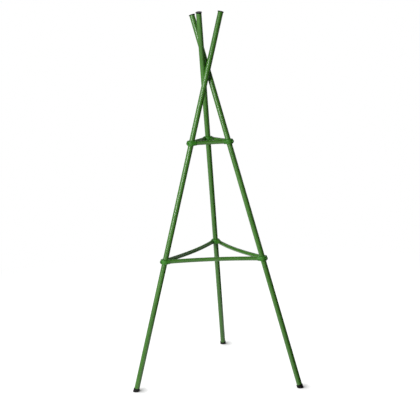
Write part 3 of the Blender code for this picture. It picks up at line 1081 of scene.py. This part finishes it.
def floor_finish(stage):
    """Pale with a soft shadow beside whatever stands on it, and plain white further out."""
    finish = matt_finish("studio_floor_finish", stage.floor_colour, roughness=0.8)
    tree = finish.node_tree
    seen = seen_rays(tree)
    place = add(tree, "TexCoord").outputs["Object"]
    out = add(tree, "VectorMath", {0: place}, operation="LENGTH").outputs["Value"]
    far = ramp(tree, out, WHITE_STARTS, WHITE_FROM)
    white = glow(tree, 1.0)
    towards_lamps = add(tree, "CombineXYZ", dict(enumerate(TOWARDS_LAMPS))).outputs[0]
    contact = {"Distance": stage.contact_reach, "Normal": towards_lamps}
    open_air = add(tree, "AmbientOcclusion", contact, samples=CONTACT_SAMPLES).outputs["AO"]
    level = maths(tree, "MULTIPLY", seen, FLOOR_LEVEL)
    level = maths(tree, "MULTIPLY", level, maths(tree, "POWER", open_air, CONTACT_DEPTH))
    lit = principled(tree).outputs[0]
    near = add(tree, "AddShader", {0: lit, 1: glow(tree, level)}).outputs[0]
    share = maths(tree, "MULTIPLY", far, seen)
    both = add(tree, "MixShader", {0: share, 1: near, 2: white}).outputs[0]
    tree.links.new(both, tree.nodes["Material Output"].inputs["Surface"])
    return finish


def add_floor(stage):
    """A large floor whose far part is plain white, so that it has no horizon."""
    bm = bmesh.new()
    bmesh.ops.create_circle(bm, cap_ends=True, radius=stage.floor_radius, segments=FLOOR_SIDES)
    mesh = plain_mesh(bm, "studio_floor")
    mesh.materials.append(floor_finish(stage))
    floor = new_object("studio_floor", mesh)


def add_room(stage):
    """White for what is seen directly or in a reflection, and an even grey light from all round."""
    world = bpy.data.worlds.new("white_room")
    bpy.context.scene.world = world
    world.use_nodes = True
    tree = world.node_tree
    inputs = {"Value": seen_rays(tree), "To Min": stage.world_level, "To Max": 1.0}
    level = add(tree, "MapRange", inputs).outputs["Result"]
    background = tree.nodes["Background"].inputs
    background["Color"].default_value = (1, 1, 1, 1)
    tree.links.new(level, background["Strength"])


def add_camera(stage):
    """The camera at the photograph's viewing angle."""
    data = bpy.data.cameras.new("photo_camera")
    data.lens = stage.lens
    data.sensor_width = SENSOR_WIDTH
    camera = new_object("photo_camera", data)
    heading = Matrix.Rotation(stage.camera_heading, 4, "Z")
    tilt = Matrix.Rotation(pi / 2 - stage.camera_tilt, 4, "X")
    roll = Matrix.Rotation(stage.camera_roll, 4, "Z")
    camera.matrix_world = Matrix.Translation(stage.camera_place) @ (heading @ tilt @ roll)
    bpy.context.scene.camera = camera


class SUPPORT_OT_stage(Operator):
    """Build the floor, the room's light, the lamps and the camera"""

    bl_idname = "plant_support.stage"
    bl_label = "Stage"

    def execute(self, context):
        stage = context.scene.plant_support.stage
        context.scene.view_settings.view_transform = "Standard"
        add_floor(stage)
        add_room(stage)
        for name, (place, target, size) in LAMPS.items():
            add_lamp(name, place, target, size, getattr(stage, name))
        for name, (place, target, size) in FLAGS.items():
            add_flag(name, place, target, size)
        add_camera(stage)
        return {"FINISHED"}


class SUPPORT_PT_panel(Panel):
    """Lists the support's pieces and settings"""

    bl_idname = "SUPPORT_PT_panel"
    bl_label = "Plant Support"
    bl_space_type = "VIEW_3D"
    bl_region_type = "UI"
    bl_category = "Plant Support"

    def draw(self, context):
        settings = context.scene.plant_support
        layout = self.layout
        for operator in OPERATORS:
            layout.operator(operator.bl_idname)
        for group in ("legs", "rings", "connectors", "caps", "finishes", "stage"):
            box = layout.box()
            box.label(text=group.capitalize())
            values = getattr(settings, group)
            for name in values.bl_rna.properties.keys():
                if name not in {"rna_type", "name"}:
                    box.prop(values, name)


OPERATORS = (
    SUPPORT_OT_legs,
    SUPPORT_OT_bars,
    SUPPORT_OT_connectors,
    SUPPORT_OT_screws,
    SUPPORT_OT_caps,
    SUPPORT_OT_stage,
)
GROUPS = (LegSizes, RingSizes, ConnectorSizes, CapSizes, Finishes, StageSettings)
CLASSES = GROUPS + (PlantSupportSettings,) + OPERATORS + (SUPPORT_PT_panel,)


def register():
    for item in CLASSES:
        bpy.utils.register_class(item)
    bpy.types.Scene.plant_support = PointerProperty(type=PlantSupportSettings)


def unregister():
    del bpy.types.Scene.plant_support
    for item in reversed(CLASSES):
        bpy.utils.unregister_class(item)


def main():
    register()
    bpy.ops.plant_support.legs()
    bpy.ops.plant_support.bars()
    bpy.ops.plant_support.connectors()
    bpy.ops.plant_support.screws()
    bpy.ops.plant_support.caps()
    bpy.ops.plant_support.stage()


if __name__ == "__main__":
    main()
